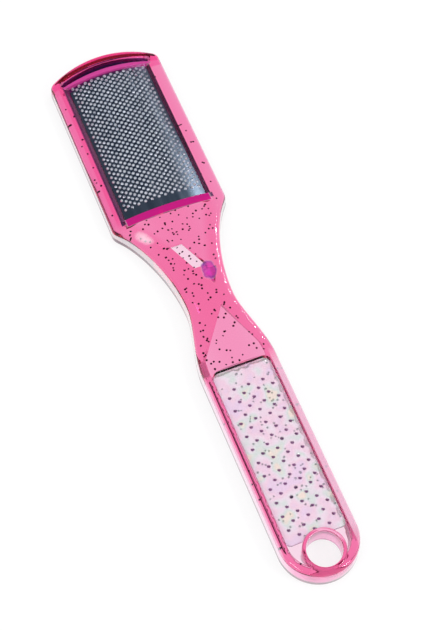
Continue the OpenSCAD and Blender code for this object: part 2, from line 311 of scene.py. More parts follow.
# %% Rings and nets
def at_height(loop, height):
    """A loop with heights: a number, or a function of x and y."""
    if callable(height):
        return [(p.x, p.y, height(p.x, p.y)) for p in loop]
    return [(p.x, p.y, height) for p in loop]


def close_with_net(mesh, ring, height, step_x, step_y, upwards):
    """Fills a ring of vertices with triangles, with inner points on a grid."""
    flat = [v.co.xy.copy() for v in ring]
    near = kdtree.KDTree(len(flat))
    for i, point in enumerate(flat):
        near.insert((point.x, point.y, 0), i)
    near.balance()
    low_x, high_x = min(p.x for p in flat), max(p.x for p in flat)
    low_y, high_y = min(p.y for p in flat), max(p.y for p in flat)
    points = list(flat)
    count_x = int((high_x - low_x) / step_x)
    count_y = int((high_y - low_y) / step_y)
    for i in range(count_x + 1):
        for j in range(count_y + 1):
            x = (low_x + high_x) / 2 + (i - count_x / 2) * step_x
            y = (low_y + high_y) / 2 + (j - count_y / 2) * step_y
            if near.find((x, y, 0))[2] > 0.5 * step_x:
                points.append(Vector((x, y)))
    border = list(range(len(flat)))[::-1]
    found, _, triangles, origins, _, owners = delaunay_2d_cdt(points, [], [border], 1, 1e-7, True)
    corners = []
    for point, origin in zip(found, origins):
        ring_index = [k for k in origin if k < len(flat)]
        corners.append(ring[ring_index[0]] if ring_index
                       else mesh.verts.new((point.x, point.y, height(point.x, point.y))))
    for triangle, owner in zip(triangles, owners):
        if not owner:
            continue
        face = mesh.faces.new([corners[k] for k in triangle])
        face.normal_update()
        if (face.normal.z > 0) != upwards:
            face.normal_flip()


# %% Lofted solids
def loft(name, rings, top=None, bottom=None, step=(1.5, 5)):
    """A closed solid through rings of points, listed from the lowest to the highest."""
    mesh = bmesh.new()
    loops = [[mesh.verts.new(p) for p in ring] for ring in rings]
    count = len(loops[0])
    for low, high in zip(loops, loops[1:]):
        for i in range(count):
            j = (i + 1) % count
            mesh.faces.new((low[j], low[i], high[i], high[j]))
    if top:
        close_with_net(mesh, loops[-1], top, *step, upwards=True)
    else:
        mesh.faces.new(loops[-1][::-1])
    if bottom:
        close_with_net(mesh, loops[0], bottom, *step, upwards=False)
    else:
        mesh.faces.new(loops[0])
    bmesh.ops.recalc_face_normals(mesh, faces=mesh.faces)
    data = bpy.data.meshes.new(name)
    mesh.to_mesh(data)
    mesh.free()
    return into_scene(name, data)


# %% Joining and cutting solids
def finished_mesh(piece):
    """The mesh of a piece with its modifiers applied."""
    bpy.context.view_layer.update()
    evaluated = piece.evaluated_get(bpy.context.evaluated_depsgraph_get())
    return bpy.data.meshes.new_from_object(evaluated)


def bake(piece):
    """Replaces a piece's mesh by the result of its modifiers."""
    result = finished_mesh(piece)
    piece.modifiers.clear()
    old, piece.data = piece.data, result
    bpy.data.meshes.remove(old)
    result.name = piece.name


def combine(piece, other, operation="DIFFERENCE"):
    """Cuts another solid out of a piece, or joins it on, and deletes the other one."""
    boolean = piece.modifiers.new(operation.lower(), "BOOLEAN")
    boolean.operation = operation
    boolean.solver = "MANIFOLD"
    boolean.object = other
    bake(piece)
    bpy.data.objects.remove(other)


def to_metres(piece, smooth_angle=30):
    """Scales a mesh from millimetres and shades it smooth except at real edges."""
    piece.data.transform(Matrix.Scale(mm, 4))
    piece.data.shade_smooth()
    piece.data.set_sharp_from_angle(angle=math.radians(smooth_angle))


# %% [markdown]
# ## The handle's blank
# The moulding is crowned: across the handle its face is an arc of a large circle. Its outer edge is
# rounded all the way round, its sides lean in so that it leaves the mould, and its back is flat with
# a small bevel. Rings for the bevel, the wall and the rounding are stacked, and the net closes the
# crown.

# %% Blank of the handle
small_step = 0.3


def raised(surface, by):
    """A surface, moved up by a distance or down by one below zero."""
    return lambda x, y: surface(x, y) + by


rings = [at_height(drawn_in(outline, back_bevel), 0),
         at_height(drawn_in(outline, back_bevel * small_step), back_bevel * small_step),
         at_height(outline, back_bevel)]
for degrees in range(0, 91, 10):
    angle = math.radians(degrees)
    inwards = draft + edge_r * (1 - math.cos(angle))
    rings.append(at_height(drawn_in(outline, inwards), raised(crown, -edge_r * (1 - math.sin(angle)))))
handle = loft("handle_moulding", rings, top=crown)
print("Blank:", len(handle.data.polygons), "faces")

# %% [markdown]
# ## Cutting the head
# The window holds the plate. Its long sides slope down to the steel as thin lips, and beyond the
# bridge a curved slot shows the plate's end. Each opening has its own cutter with a flared rim, so
# the edges come out rounded, as they do in a moulding. Cutters reach a little past the handle,
# because two faces in the same place can make a Boolean fail.

# %% Window
over = 1
above = handle_t + over
rim = 0.3
back_rim = [(-rim, -over), (-rim, 0), (0, rim)]


def stack(name, loop, levels, **ends):
    """A cutter from a clockwise loop and a list of (how far drawn in, height)."""
    return loft(name, [at_height(drawn_in(loop, inwards), height) for inwards, height in levels], **ends)


def bow(far, radius, width, steps):
    """The points of an arc across the handle, from its right end to its left one."""
    half = math.degrees(math.asin(width / 2 / radius))
    points = arc((0, far - radius), radius, 90 - half, 90 + half, steps)
    return points + arc((0, far - radius), radius, 90 + half, 90 + 2 * half, 1)


window_loop = clockwise([Vector((-window_w / 2, window_y)), Vector((window_w / 2, window_y))]
                        + bow(window_far_y, bridge_r, window_w, 16))
combine(handle, stack("window", window_loop, back_rim + [(0, above)]))
print("Window:", window_w, "by", window_l, "mm")

# %% [markdown]
# ## The window's wall by the neck
# Under the plate this wall leans away towards the neck. Seen through the clear plastic, a sloping
# wall has a tone of its own and draws a band there, which a painted shade on the face above deepens.
# The cutter is a block whose lower edge is moved, which is the shortest way to one sloping wall.

# %% Slope under the plate
slope_loop = clockwise([Vector((-window_w / 2, window_y + over)), Vector((window_w / 2, window_y + over)),
                        Vector((window_w / 2, window_y)), Vector((-window_w / 2, window_y))])
lowest_lean = window_lean * (plate_top + over) / plate_top
lowered = [Vector((p.x, p.y - lowest_lean)) if p.y < window_y + over / 2 else p for p in slope_loop]
combine(handle, loft("window_slope", [at_height(lowered, -over), at_height(slope_loop, plate_top)]))
print("The wall leans by", window_lean, "mm")

# %% [markdown]
# ## Lips along the window
# Each lip falls from the crown to a thin edge over the plate. One profile across the handle holds
# both slopes, with a short blend where they meet the crown, and it is drawn along the window.

# %% Lips
inner = window_w / 2
outer = inner + lip_w
lip_low = arch(inner, plate_top, plate_r) + lip_t
lip_high = crown(outer)
lip_fall = (lip_high - lip_low) / lip_w
lip_far_y = window_far_y - bridge_r + math.sqrt(bridge_r ** 2 - outer ** 2)
blend = 0.5
blend_steps = 4
half_profile = [Vector((inner - over, lip_low - over * lip_fall))]
start = Vector((outer - blend, lip_high - blend * lip_fall))
middle = Vector((outer, lip_high))
stop = Vector((outer + blend, crown(outer + blend)))
for i in range(blend_steps + 1):
    t = i / blend_steps
    half_profile.append((1 - t) ** 2 * start + 2 * t * (1 - t) * middle + t * t * stop)
half_profile.append(Vector((outer + blend, above)))
profile = half_profile + [Vector((-p.x, p.y)) for p in half_profile[::-1]]
combine(handle, loft("lips", [[(p.x, y, p.y) for p in profile] for y in (window_y, lip_far_y)]))
print("Lips from", round(lip_high, 2), "down to", round(lip_low, 2), "mm")

# %% [markdown]
# ## The slot
# The slot follows an arc about the same axis as the plate's end and has round ends. It is cut from
# the crown down to the middle of the plate, so no thin skin of plastic is left over the steel.

# %% Slot
slot_half = math.degrees(math.asin(slot_l / 2 / slot_r))
slot_turn = math.radians(slot_half)
slot_ends = [Vector((0, slot_axis_y)) + slot_r * Vector((side * math.sin(slot_turn), math.cos(slot_turn)))
             for side in (-1, 1)]
slot_loop = clockwise(
    arc((0, slot_axis_y), slot_r + slot_w / 2, 90 - slot_half, 90 + slot_half, 40)
    + arc(slot_ends[0], slot_w / 2, 90 + slot_half, 270 + slot_half, 12)
    + arc((0, slot_axis_y), slot_r - slot_w / 2, 90 + slot_half, 90 - slot_half, 40)
    + arc(slot_ends[1], slot_w / 2, 270 - slot_half, 450 - slot_half, 12))


def plate_middle(x, y):
    return arch(x, plate_top - plate_t / 2, plate_r)


def edge_steps(surface, size, way):
    """Levels of a small rounded edge that ends at a surface: drawn in for 1, flared for -1."""
    return [(0, raised(surface, -size)), (way * small_step * size, raised(surface, -small_step * size)),
            (way * size, surface)]


combine(handle, stack("slot", slot_loop,
                      [(0, plate_middle)] + edge_steps(crown, rim, -1) + [(-rim, above)],
                      bottom=plate_middle, step=(0.9, 0.9)))
print("After the head's openings:", len(handle.data.polygons), "faces")

# %% [markdown]
# ## The recess
# A shallow recess in the face takes the insert. Its sides are straight, its lower end is a half
# circle round the hanging hole, and its floor is an arch at an even depth under the crown. The
# steps of a rounded edge, taken upside down, give the fillet at the floor.

# %% Recess in the face
def recess_loop(width, corner, top_y, end_y):
    """A rounded rectangle whose lower end is a half circle."""
    loop = (arc((width / 2 - corner, top_y - corner), corner, 90, 0, 8)
            + straight(width / 2, top_y - corner, end_y, 12)
            + arc((0, end_y), width / 2, 0, -180, 40)
            + straight(-width / 2, end_y, top_y - corner, 12)
            + arc((corner - width / 2, top_y - corner), corner, 180, 90, 8)
            + [Vector((corner - width / 2, top_y))])
    return clockwise(loop)


def recess_floor(x, y):
    return arch(x, handle_t - recess_depth, crown_r - recess_depth)


fillet = 0.3
grip_recess = recess_loop(recess_w, recess_corner_r, recess_y, grip_end_y)
floor_fillet = edge_steps(recess_floor, -fillet, -1)[::-1]
combine(handle, stack("recess", grip_recess, floor_fillet + edge_steps(crown, rim, -1) + [(-rim, above)],
                      bottom=recess_floor))
print("Recess:", recess_w, "by", recess_l, "mm")

# %% [markdown]
# ## The hollows behind
# The recess has a thin floor because the grip is hollow behind it, and that hollow ends in a point
# under the waist. A V-shaped hollow with sloping walls lies behind the neck. Light bends at these
# walls, which is what draws the bright and dark lines that show through the clear neck.

# %% Hollows in the back
roof_drop = recess_depth + floor_t


def hollow_roof(x, y):
    return arch(x, handle_t - roof_drop, crown_r - roof_drop)


hollow_corner_r = 1
hollow_loop = recess_loop(recess_w, hollow_corner_r, recess_y, grip_end_y)
combine(handle, stack("grip_hollow", hollow_loop, back_rim + edge_steps(hollow_roof, fillet, 1),
                      top=hollow_roof))

point_run = 1.2
point_l = recess_w / 2 / point_slope
point_loop = clockwise([Vector((point_shift, point_y)), Vector((recess_w / 2, point_y - point_l)),
                        Vector((recess_w / 2, recess_y - over)), Vector((-recess_w / 2, recess_y - over)),
                        Vector((-recess_w / 2, point_y - point_l))])
combine(handle, stack("point_hollow", point_loop, [(0, -over), (0, 0), (point_run, point_depth)]))
print("With the grip's hollow:", len(handle.data.polygons), "faces")

# %% V behind the neck
vee_run = 3.2


def vee_ring(run, height):
    """The V, open at the window, with its two arms drawn in."""
    arm_l = vee_l + over
    half = arm_l * vee_slope
    shifts = []
    for side in (-1, 1):
        reach = side * half - vee_shift
        shifts.append((reach, side * -run * math.hypot(reach, arm_l) / arm_l))
    (left, left_in), (right, right_in) = shifts
    climb = (left_in - right_in) * arm_l / (right - left)
    return [(vee_shift + left_in + climb * left / arm_l, vee_tip_y + climb, height),
            (left + left_in + vee_shift, vee_tip_y + arm_l, height),
            (right + right_in + vee_shift, vee_tip_y + arm_l, height)]


combine(handle, loft("vee_hollow", [vee_ring(0, -over), vee_ring(0, 0), vee_ring(vee_run, vee_depth)]))
print("With the V:", len(handle.data.polygons), "faces")

# %% [markdown]
# ## Pocket and facet
# Two more hollows open in the back by the V: a deep slanting pocket in its left arm, and a
# steep facet at its tip. From the face they are seen only as shapes inside the clear neck. Both are
# plain blocks with flat sides, because flat walls give shapes with crisp edges.

# %% Pocket and facet
def pocket_ring(share, height):
    """A slanting parallelogram in the left arm of the V, with a share of its flare added."""
    ring = []
    for side, end in ((0, 0), (0, 1), (1, 1), (1, 0)):
        along = end * (pocket_l + share * pocket_flare_l)
        across = side * (pocket_w + share * pocket_flare_w) - along * pocket_lean / pocket_l
        ring.append((pocket_at.x + across, pocket_at.y + along, height))
    return ring


combine(handle, loft("pocket", [pocket_ring(1 + over / pocket_depth, -over), pocket_ring(0, pocket_depth)]))

facet_y = vee_tip_y - facet_start
facet_tip = Vector((vee_shift, facet_y - facet_l * over / pocket_depth, -over))
facet_ends = [Vector((vee_shift + side * facet_w / 2, facet_y + facet_l, height))
              for height in (-over, pocket_depth) for side in (-1, 1)]
wedge = bpy.data.meshes.new("facet")
wedge.from_pydata([facet_tip] + facet_ends, [], [(1, 2, 0), (3, 4, 2, 1), (3, 1, 0), (2, 4, 0), (4, 3, 0)])
combine(handle, into_scene("facet", wedge))
print("With pocket and facet:", len(handle.data.polygons), "faces")

# %% [markdown]
# ## The hanging end
# A ring stands in the end of the recess and a hook goes through it. It is lofted from circles, with
# a rounded rim, joined to the handle and then drilled with a cutter that flares at both ends. The
# flare takes the steps of the rim with the opposite sign.

# %% Ring and hole
ring_top = handle_t + ring_rise
round_rim = 0.5
rim_steps = [(round_rim * (1 - math.cos(a)), ring_top - round_rim * (1 - math.sin(a)))
             for a in (math.radians(d) for d in range(0, 91, 18))]
flare_steps = [(-inwards, height) for inwards, height in rim_steps]
ring_loop = clockwise(arc((0, hang_y), ring_r, 0, 360, 96))
combine(handle, stack("ring", ring_loop, [(0, 0)] + rim_steps), "UNION")

hole_loop = clockwise(arc((0, hang_y), hang_r, 0, 360, 96))
combine(handle, stack("hole", hole_loop, back_rim + flare_steps + [(-round_rim, above + over)]))
to_metres(handle)
print("Handle:", len(handle.data.polygons), "faces")

# %% [markdown]
# ## The insert
# The insert is a thin arched panel with rows of little domes. A panel is lofted first. Geometry Nodes
# then put a dome on every place of two staggered grids and join all of them to the panel in one
# Boolean, so that the clear plastic has no walls inside it.

# %% Panel of the insert
inlay_crown = handle_t - recess_depth + inlay_seat + inlay_t
inlay_crown_r = crown_r - recess_depth + inlay_seat + inlay_t


def inlay_top(x, y):
    return arch(x, inlay_crown, inlay_crown_r)


inlay_bottom = raised(inlay_top, -inlay_t)
inlay_w = recess_w - 2 * inlay_gap
inlay_r = recess_corner_r - inlay_gap
inlay_start_y = recess_y - inlay_gap
notch_r = ring_r + inlay_gap
notch_half = math.degrees(math.asin((inlay_end_y - hang_y) / notch_r))
low_corner = 2.0
side_start_y = inlay_start_y - inlay_r
side_end_y = inlay_end_y + low_corner
inlay_half = (
    arc((inlay_w / 2 - inlay_r, side_start_y), inlay_r, 90, 0, 8)
    + straight(inlay_w / 2, side_start_y, side_end_y, 12)
    + arc((inlay_w / 2 - low_corner, side_end_y), low_corner, 0, -90, 6)
    + [Vector((inlay_w / 2 - low_corner, inlay_end_y))]
    + arc((0, hang_y), notch_r, notch_half, 90, 12))
inlay_loop = clockwise(inlay_half + [Vector((0, hang_y + notch_r))]
                       + [Vector((-p.x, p.y)) for p in inlay_half[::-1]])
soft = 0.25
insert = stack("grip_insert", inlay_loop, [(0, inlay_bottom)] + edge_steps(inlay_top, soft, 1),
               top=inlay_top, bottom=inlay_bottom)
print("Insert panel:", len(insert.data.polygons), "faces")

# %% [markdown]
# ## Helpers for node trees
# Both Geometry Nodes and materials are trees of nodes. Short helpers add a node, set its properties
# and fill its inputs, with a value or with another node's output. The sums that come back often,
# such as a mix of two colours or the largest of several values, get a helper each.

# %% Node helpers
def fill(tree, node, inputs):
    """Fills inputs, given by name or number, with values or with sockets to link."""
    for key, value in inputs.items():
        if isinstance(value, bpy.types.NodeSocket):
            tree.links.new(value, node.inputs[key])
        else:
            node.inputs[key].default_value = value


def add(tree, kind, inputs=None, **properties):
    """Adds a node, sets its properties and fills its inputs."""
    made = tree.nodes.new(kind)
    for name, value in properties.items():
        setattr(made, name, value)
    fill(tree, made, inputs or {})
    return made


# %% Sums in nodes
def maths(tree, operation, a, b=0.0):
    return add(tree, "ShaderNodeMath", {0: a, 1: b}, operation=operation).outputs[0]


def where_all(tree, first, *others):
    """The product of shares: 1 only where each of them is."""
    for other in others:
        first = maths(tree, "MULTIPLY", first, other)
    return first


def where_any(tree, first, *others):
    """The largest of several shares."""
    for other in others:
        first = maths(tree, "MAXIMUM", first, other)
    return first


def vector_maths(tree, operation, a, b):
    """Sums with vectors. A distance or a dot product comes out as a number."""
    made = add(tree, "ShaderNodeVectorMath", {0: a, 1: b}, operation=operation)
    return made.outputs["Value" if operation in ("DISTANCE", "DOT_PRODUCT") else "Vector"]


def vector_of(tree, **parts):
    return add(tree, "ShaderNodeCombineXYZ", parts).outputs[0]


def parts_of(tree, vector):
    return add(tree, "ShaderNodeSeparateXYZ", {0: vector}).outputs


def remap(tree, value, start, stop, low=0.0, high=1.0):
    """Turns the range from start to stop into the range from low to high."""
    return add(tree, "ShaderNodeMapRange", {"Value": value, "From Min": start, "From Max": stop,
                                            "To Min": low, "To Max": high}).outputs[0]


def arch_height(tree, x, top, radius):
    """The arch formula in nodes: top - radius + sqrt(radius^2 - x^2)."""
    square = maths(tree, "SUBTRACT", maths(tree, "MULTIPLY", radius, radius), maths(tree, "MULTIPLY", x, x))
    return maths(tree, "ADD", maths(tree, "SUBTRACT", top, radius), maths(tree, "SQRT", square))


# %% [markdown]
# ## Materials
# Clear plastic is mostly what happens inside it. The surface is smooth and lets light through, and
# the pink comes from absorption: thin walls look pale, and thick ones deep. So the shader has a
# light tint, and Volume Absorption does the rest. No finish is perfectly even, so each material
# reads noise on Object coordinates for its roughness, and most for a slight bump.

# %% Material helpers
def new_material(name):
    material = bpy.data.materials.new(name)
    material.use_nodes = True
    tree = material.node_tree
    return material, tree, tree.nodes["Principled BSDF"]


def object_noise(tree, scale, detail=3.0, roughness=0.5, stretch=(1, 1, 1)):
    """Noise on Object coordinates, stretched along an axis if asked."""
    place = add(tree, "ShaderNodeTexCoord").outputs["Object"]
    mapping = add(tree, "ShaderNodeMapping", {"Vector": place, "Scale": stretch})
    return add(tree, "ShaderNodeTexNoise", {"Vector": mapping.outputs[0], "Scale": scale,
                                            "Detail": detail, "Roughness": roughness}).outputs["Fac"]


def spread(tree, noise, low, high):
    """Maps a noise value, which seldom leaves 0.3 to 0.7, to a range."""
    return remap(tree, noise, 0.3, 0.7, low, high)


def bump(tree, height, strength, distance):
    return add(tree, "ShaderNodeBump", {"Height": height, "Strength": strength,
                                        "Distance": distance}).outputs[0]


# %% Mixes and ramps of colours
def mixed(tree, share, a, b):
    """Colour a where the share is 0, and colour b where it is 1."""
    return add(tree, "ShaderNodeMix", {"Factor": share, "A": a, "B": b}, data_type="RGBA").outputs["Result"]


def tones(tree, value, *stops):
    """A colour ramp through stops, each a position and a colour."""
    made = add(tree, "ShaderNodeValToRGB", {"Fac": value})
    ends = made.color_ramp.elements
    for end, (position, colour) in zip(ends, (stops[0], stops[-1])):
        end.position = position
        end.color = colour
    for position, colour in stops[1:-1]:
        ends.new(position).color = colour
    return made.outputs[0]


# %% [markdown]
# ## Painted light and shade in the clear plastic
# A real moulding shows bright and dark bands and patches where light bends and gathers inside it.
# The light paths behind them can't be read from one picture, so they are painted: each mark is a
# painted highlight, a painted reflection or painted shade. Each mark has a tint, and some have a
# veil, which lets less light through and gives a milky look. A mask says where the mark lies: it
# is 1 there, 0 elsewhere, and fades between two lengths. The masks read Object coordinates, so the
# marks stay on the handle however it is turned.

# %% Tints and veils of the marks
body_tint = (1.0, 0.92, 0.965, 1)
flank_sheen_veil = 0.6
# Every mark is painted light or shade. The pale rims, hanging hole and shoulder patch are painted highlights
# and reflections. The low edge, bridge, neck end of window and shield are painted shade. The other deep pinks
# and purples paint the colour of light bent through the plastic.
marks = {
    "left of window": ((1.0, 0.42, 0.70, 1), 0),
    "far end": ((1.0, 0.30, 0.62, 1), 0),
    "facet": ((0.90, 0.05, 0.80, 1), 0),
    "pale rims": ((0.97, 0.78, 0.92, 1), 0.45),
    "hanging hole": ((0.98, 0.52, 0.76, 1), 0.5),
    "end flank": ((0.96, 0.40, 0.66, 1), 0),
    "low edge": ((0.20, 0.12, 0.17, 1), 0.7),
    "bridge": ((0.85, 0.08, 0.42, 1), 0.6),
    "neck end of window": ((0.56, 0.008, 0.21, 1), 0.8),
    "shoulder patch": ((0.98, 0.93, 0.96, 1), 0.5),
    "shield": ((0.36, 0.09, 0.44, 1), 0.4),
    "middle of shield": ((0.80, 0.07, 0.52, 1), 0)}


# %% Distances for masks
def share_between(tree, value, low, high):
    """Rises from 0 to 1 while a length goes from one value to another, both in millimetres."""
    return remap(tree, value, low * mm, high * mm)


def plan_distance(tree, place, axis_y):
    """Distance in plan from an upright axis on the middle plane."""
    flat_place = vector_maths(tree, "MULTIPLY", place, (1.0, 1.0, 0.0))
    return vector_maths(tree, "DISTANCE", flat_place, Vector((0, axis_y, 0)) * mm)


def oval_distance(tree, place, middle, way, length, width):
    """Square of the distance from an oval's middle, 1 at its edge."""
    off = vector_maths(tree, "SUBTRACT", place, Vector(middle) * mm)
    squares = []
    for axis, reach in ((way, length), ((way[1], -way[0], 0), width)):
        along = vector_maths(tree, "DOT_PRODUCT", off, axis)
        squares.append(maths(tree, "POWER", maths(tree, "DIVIDE", along, reach / 2 * mm), 2.0))
    return maths(tree, "ADD", *squares)


print("Marks in the plastic:", len(marks))

# %% Masks of the head
left_band_x = -22.6
slot_near_r = slot_r - slot_w / 2


def head_masks(tree, place, x, y, on_face):
    """Painted colour of light: deeper pink on the strip left of the window and the far end, and painted shade
    on the bridge and the window's neck end.
    """
    across = maths(tree, "ABSOLUTE", x)
    off_axis = plan_distance(tree, place, slot_axis_y)
    return {
        "left of window": where_all(tree, share_between(tree, x, left_band_x - 0.3, left_band_x + 0.3),
                                    share_between(tree, x, 0.6 - window_w / 2, -window_w / 2),
                                    share_between(tree, y, window_y - 4, window_y + 2)),
        "far end": share_between(tree, y, window_far_y - 0.4, window_far_y + 0.4),
        "bridge": where_all(tree, share_between(tree, off_axis, slot_near_r + 0.3, slot_near_r),
                            share_between(tree, across, slot_l / 2 + 0.9, slot_l / 2 + 0.3),
                            share_between(tree, y, window_far_y - 1.2, window_far_y - 0.9)),
        "neck end of window": where_all(tree, share_between(tree, y, window_y - 3.9, window_y - 3.5),
                                        share_between(tree, y, window_y + 0.1, window_y),
                                        share_between(tree, across, window_w / 2 + 0.8, window_w / 2 + 0.1),
                                        on_face)}


# %% Masks of the neck
facet_middle = (vee_shift, facet_y + 0.6 * facet_l, pocket_depth * 0.45)
facet_reach = 3.9
facet_fade = 0.6
patch_oval = {"middle": (-14.6, 31.8, 8.6), "way": (0.53, -0.848, 0), "length": 9, "width": 4.6}
shield_oval = {"middle": (4.6, 7.6, 9.4), "way": (0.2, 0.98, 0), "length": 8.6, "width": 6.2}
raggedness = 1.6


def neck_masks(tree, place, on_face):
    """The painted purple on the facet, the painted highlight at the left shoulder, and the painted purple
    shade over the facet, called the shield.
    """
    off_facet = vector_maths(tree, "DISTANCE", place, Vector(facet_middle) * mm)
    ragged = maths(tree, "MULTIPLY", object_noise(tree, 260, detail=2), raggedness)
    off_patch = maths(tree, "ADD", oval_distance(tree, place, **patch_oval), ragged)
    off_shield = maths(tree, "ADD", oval_distance(tree, place, **shield_oval), ragged)
    return {"facet": share_between(tree, off_facet, facet_reach, facet_reach - facet_fade),
            "shoulder patch": where_all(tree, remap(tree, off_patch, 2.1, 0.7), on_face),
            "shield": where_all(tree, remap(tree, off_shield, 2.0, 1.6), on_face),
            "middle of shield": where_all(tree, remap(tree, off_shield, 1.45, 1.0), on_face)}


# %% Masks of the grip and the flanks
def grip_masks(tree, place, x, y, height, upright):
    """The grip's rims, its outer walls, their lowest edge and the hanging hole, with painted light and shade:
    a painted sheen on the walls and painted shade at their lowest edge.
    """
    across = maths(tree, "ABSOLUTE", x)
    off_end = plan_distance(tree, place, grip_end_y)
    off_hole = plan_distance(tree, place, hang_y)
    by_side = share_between(tree, across, grip_w / 2 - 1.2, grip_w / 2 - 0.8)
    by_end = where_all(tree, share_between(tree, off_end, grip_w / 2 - 1.2, grip_w / 2 - 0.8),
                       share_between(tree, y, grip_end_y + 0.5, grip_end_y))
    clear_of_recess = where_any(tree, share_between(tree, across, recess_w / 2 + 0.3, recess_w / 2 + 0.9),
                                share_between(tree, y, recess_y + 1, recess_y + 2))
    by_neck = where_all(tree, share_between(tree, y, grip_y - 4, grip_y - 1),
                        share_between(tree, across, 8.5, 9), clear_of_recess)
    clear_of_window = where_any(tree, share_between(tree, across, window_w / 2 + 0.6, window_w / 2 + 1.2),
                                share_between(tree, y, window_y - 2, window_y - 3))
    # Painted reflection: the outer walls are made pale, as the mirrored white floor would make them.
    flank_sheen = where_all(tree, upright, clear_of_window, where_any(tree, by_neck, by_end, by_side))
    along_grip = where_all(tree, share_between(tree, y, grip_end_y - 12, grip_end_y),
                           share_between(tree, y, recess_y + 3, recess_y - 6))
    rims = where_any(tree, share_between(tree, x, recess_w / 2 + 0.2, recess_w / 2 + 0.6),
                     share_between(tree, x, 1.2 - grip_w / 2, 0.6 - grip_w / 2))
    return {"flank_sheen": flank_sheen,
            # Painted shade: a dark line along the lowest edge of the outer walls.
            "low edge": where_all(tree, flank_sheen, share_between(tree, height, 2.7, 2.1)),
            "end flank": where_all(tree, upright, by_end,
                                   share_between(tree, y, grip_end_y - 2, grip_end_y - 9)),
            "pale rims": where_all(tree, along_grip, rims),
            "hanging hole": where_all(tree, upright,
                                      share_between(tree, off_hole, hang_r + 0.5, hang_r + 0.2))}


# %% [markdown]
# ## The pink plastic itself
# The tints are laid over each other in the order of the list, and the strongest veil at a place
# wins. What the veil leaves goes to the Transmission Weight. Over 9 mm of plastic the absorption takes
# about four fifths of the green and half of the blue, which leaves a full pink.

# %% Clear pink plastic
plastic_ior = 1.5
let_through = (0.97, 0.0, 0.47, 1)
pink_density = 170.0


def clear_pink():
    material, tree, shader = new_material("clear_pink_plastic")
    where = add(tree, "ShaderNodeTexCoord").outputs
    place = where["Object"]
    x, y, height = parts_of(tree, place)
    face_height = crown(window_w / 2)
    on_face = share_between(tree, height, face_height - 0.8, face_height - 0.4)
    lift = maths(tree, "ABSOLUTE", parts_of(tree, where["Normal"])[2])
    upright = remap(tree, lift, 0.35, 0.15)
    masks = {**head_masks(tree, place, x, y, on_face), **neck_masks(tree, place, on_face),
             **grip_masks(tree, place, x, y, height, upright)}
    tint = body_tint
    # The veil starts with the painted sheen on the outer walls, and each mark then adds its painted light or
    # shade.
    veil = maths(tree, "MULTIPLY", masks["flank_sheen"], flank_sheen_veil)
    for name, (colour, strength) in marks.items():
        tint = mixed(tree, masks[name], tint, colour)
        if strength:
            veil = where_any(tree, veil, maths(tree, "MULTIPLY", masks[name], strength))
    handling = object_noise(tree, 90, detail=6)
    waves = object_noise(tree, 60, detail=1, stretch=(1, 0.3, 1))
    fill(tree, shader, {
        "Base Color": tint, "Transmission Weight": maths(tree, "SUBTRACT", 1.0, veil), "IOR": plastic_ior,
        "Roughness": spread(tree, handling, 0.0, 0.06), "Normal": bump(tree, waves, 0.08, 0.0004)})
    inside = add(tree, "ShaderNodeVolumeAbsorption", {"Color": let_through, "Density": pink_density})
    fill(tree, tree.nodes["Material Output"], {"Volume": inside.outputs[0]})
    return material


handle_plastic = clear_pink()
print("Clear pink plastic:", len(handle_plastic.node_tree.nodes), "nodes")

# %% [markdown]
# ## The pearly plastic
# The insert is nearly clear, with clouds of lilac, pink, mint and cream. A colour ramp turns soft
# noise into these tones. The near side of every pip is dark purple in a picture, because it mirrors
# and bends what is dark in front of it. A dark tint there is steadier than a chance reflection: it
# lies all over the pip but for its far side.

# %% Pale pearly plastic
near_way = (-0.375, -0.927, 0.0)
pip_shade = (0.10, 0.03, 0.11, 1)
clouds = ((0.34, (0.95, 0.87, 1.0, 1)), (0.44, (1.0, 0.87, 0.94, 1)), (0.53, (0.97, 0.97, 1.0, 1)),
          (0.61, (0.80, 1.0, 0.90, 1)), (0.68, (1.0, 1.0, 0.84, 1)))


def pale_pearl():
    material, tree, shader = new_material("pale_pearl_plastic")
    tint = tones(tree, object_noise(tree, 140, detail=1.5, stretch=(1, 1, 0.2)), *clouds)
    where = add(tree, "ShaderNodeTexCoord").outputs
    x, _, height = parts_of(tree, where["Object"])
    panel = arch_height(tree, x, inlay_top(0, 0) * mm, inlay_crown_r * mm)
    on_pip = share_between(tree, maths(tree, "SUBTRACT", height, panel), 0.04, 0.10)
    facing = vector_maths(tree, "DOT_PRODUCT", where["Normal"], near_way)
    shaded = where_all(tree, on_pip, remap(tree, facing, -0.35, -0.05))
    fill(tree, shader, {
        "Base Color": mixed(tree, shaded, tint, pip_shade), "Transmission Weight": 0.76, "IOR": plastic_ior,
        "Roughness": spread(tree, object_noise(tree, 200, detail=4), 0.02, 0.12),
        "Normal": bump(tree, object_noise(tree, 300, detail=2), 0.012, 0.0002)})
    return material


insert_plastic = pale_pearl()
print("Pearly plastic:", len(insert_plastic.node_tree.nodes), "nodes")

# %% [markdown]
# ## Steel and flakes
# The plate is rolled steel: dark, with fine streaks along it. Noise that is stretched along the
# plate gives the streaks to its colour, its roughness and a very slight bump. Under the slot the
# plate lies in shade and is seen through pink light, so a mask round the slot's arc paints that shade
# and tint on it in dark violet. The collars are freshly cut and brighter. The flakes are dark purple,
# a little like metal.

# %% Rolled steel of the plate
slot_shade_violet = (0.10, 0.025, 0.13, 1)


